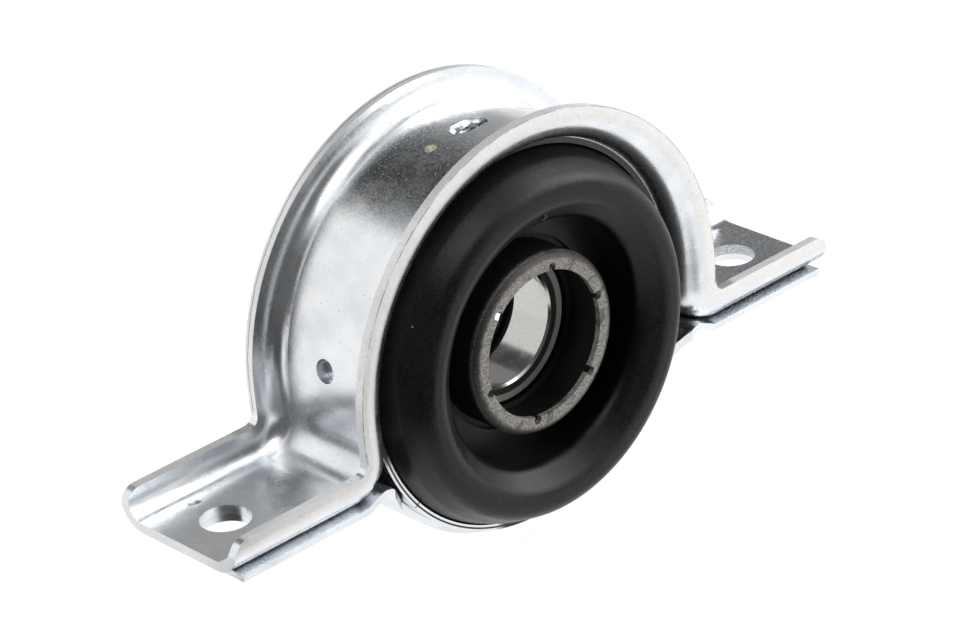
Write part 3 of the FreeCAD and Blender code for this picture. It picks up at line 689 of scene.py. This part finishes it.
def make_card(name, azimuths, shade, elevations=None, distance=1.6, reaches=None):
    """A studio card for reflections only: curved in the air, or flat on the table between two reaches."""
    steps_round, steps_up = 24, 10
    mesh = bpy.data.meshes.new(name)
    points, faces = [], []
    for up in range(steps_up + 1):
        share = up / steps_up
        for turn in range(steps_round + 1):
            azimuth = azimuths[0] + (azimuths[1] - azimuths[0]) * turn / steps_round
            if reaches is None:
                elevation = elevations[0] + (elevations[1] - elevations[0]) * share
                points.append(direction(azimuth, elevation) * distance)
            else:
                flat = direction(azimuth, 0) * (reaches[0] + (reaches[1] - reaches[0]) * share)
                points.append((flat.x, flat.y, FLOOR_HEIGHT - CARD_DROP))
    row = steps_round + 1
    for up in range(steps_up):
        for turn in range(steps_round):
            corner = up * row + turn
            faces.append((corner, corner + 1, corner + row + 1, corner + row))
    mesh.from_pydata(points, [], faces)
    card = put_in_scene(name, mesh)
    material = bpy.data.materials.new(name + "_look")
    tree, surface = emptied_tree(material, "ShaderNodeOutputMaterial")
    glow = tree.nodes.new("ShaderNodeEmission")
    glow.inputs["Color"].default_value = (shade, shade, shade, 1.0)
    tree.links.new(glow.outputs[0], surface)
    mesh.materials.append(material)
    card.visible_camera = False
    card.visible_diffuse = False
    card.visible_shadow = False


def make_lamp(name, azimuth, elevation, distance, width, height, radiance):
    """A soft box that faces the part; radiance is how bright its face looks, 1 being paper white."""
    data = bpy.data.lights.new(name, "AREA")
    data.shape = "RECTANGLE"
    data.size = width
    data.size_y = height
    data.energy = radiance * math.pi * width * height
    lamp = put_in_scene(name, data)
    lamp.location = direction(azimuth, elevation) * distance
    lamp.rotation_euler = lamp.location.to_track_quat("Z", "Y").to_euler()


def make_camera():
    """The photograph's view of the part."""
    data = bpy.data.cameras.new("camera")
    data.sensor_fit = "HORIZONTAL"
    data.sensor_width = SENSOR_WIDTH
    data.lens = LENS
    data.clip_start = 0.01
    data.clip_end = 50.0
    camera = put_in_scene("camera", data)
    back = direction(VIEW_AZIMUTH, VIEW_ELEVATION)
    azimuth = math.radians(VIEW_AZIMUTH)
    level = Vector((math.cos(azimuth), math.sin(azimuth), 0.0))
    upright = back.cross(level)
    roll = math.radians(VIEW_ROLL)
    right = level * math.cos(roll) + upright * math.sin(roll)
    up = upright * math.cos(roll) - level * math.sin(roll)
    turn = Matrix((right, up, back)).transposed().to_4x4()
    camera.matrix_world = Matrix.Translation(VIEW_TARGET + back * VIEW_DISTANCE) @ turn
    bpy.context.scene.camera = camera


bracket_look = zinc_plate(
    "upper_bracket_look",
    seed=0.0,
    sheared=bracket_edges,
    marks=bracket_marks,
    film_and_reflection=bracket_film_and_reflection,
    front=-BRACKET_FACE,
)
strap_look = zinc_plate("lower_bracket_look", seed=0.31)
ring_look = zinc_plate("outer_ring_look", seed=0.57, rubbered=ring_film)
rubber_look = moulded_rubber()
seal_look = seal_rubber()
steel_look = ground_steel()

dress("upper_bracket", bracket_look)
dress("lower_bracket", strap_look)
dress("outer_ring", ring_look)
dress("plug_weld", strap_look)
dress("rubber_cushion", rubber_look)
dress("inner_sleeve", housing_steel())
dress("ball_cage", cage_plastic())
for seal in ("bearing_seal_front", "bearing_seal_rear", "front_dust_seal", "rear_dust_seal"):
    dress(seal, seal_look)
for name in nodes:
    is_ball = name.startswith("ball_") and name != "ball_cage"
    if is_ball or name in ("bearing_outer_race", "bearing_inner_race"):
        dress(name, steel_look)

bead = new_piece("weld_bead", weld_bead, weld_metal())
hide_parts("plug_weld")

make_world()
make_floor()
make_card("front_left_card", azimuths=(-120, 14), shade=0.11, elevations=(-12, 48))
make_card("front_left_table_card", azimuths=(-100, 12), shade=0.05, reaches=(0.100, 1.5))
make_card("back_top_card", azimuths=(158, 206), shade=0.08, elevations=(38, 84))
make_card("back_right_card", azimuths=(104, 158), shade=0.32, elevations=(8, 66))
make_lamp("right_softbox", azimuth=62, elevation=30, distance=1.5, width=1.1, height=1.2, radiance=3.6)
make_lamp("high_right_softbox", azimuth=86, elevation=55, distance=1.5, width=0.4, height=0.4, radiance=3.0)
make_lamp("overhead_softbox", azimuth=-50, elevation=70, distance=1.4, width=0.7, height=0.7, radiance=2.0)
make_camera()

scene = bpy.context.scene
scene.view_settings.view_transform = "Standard"
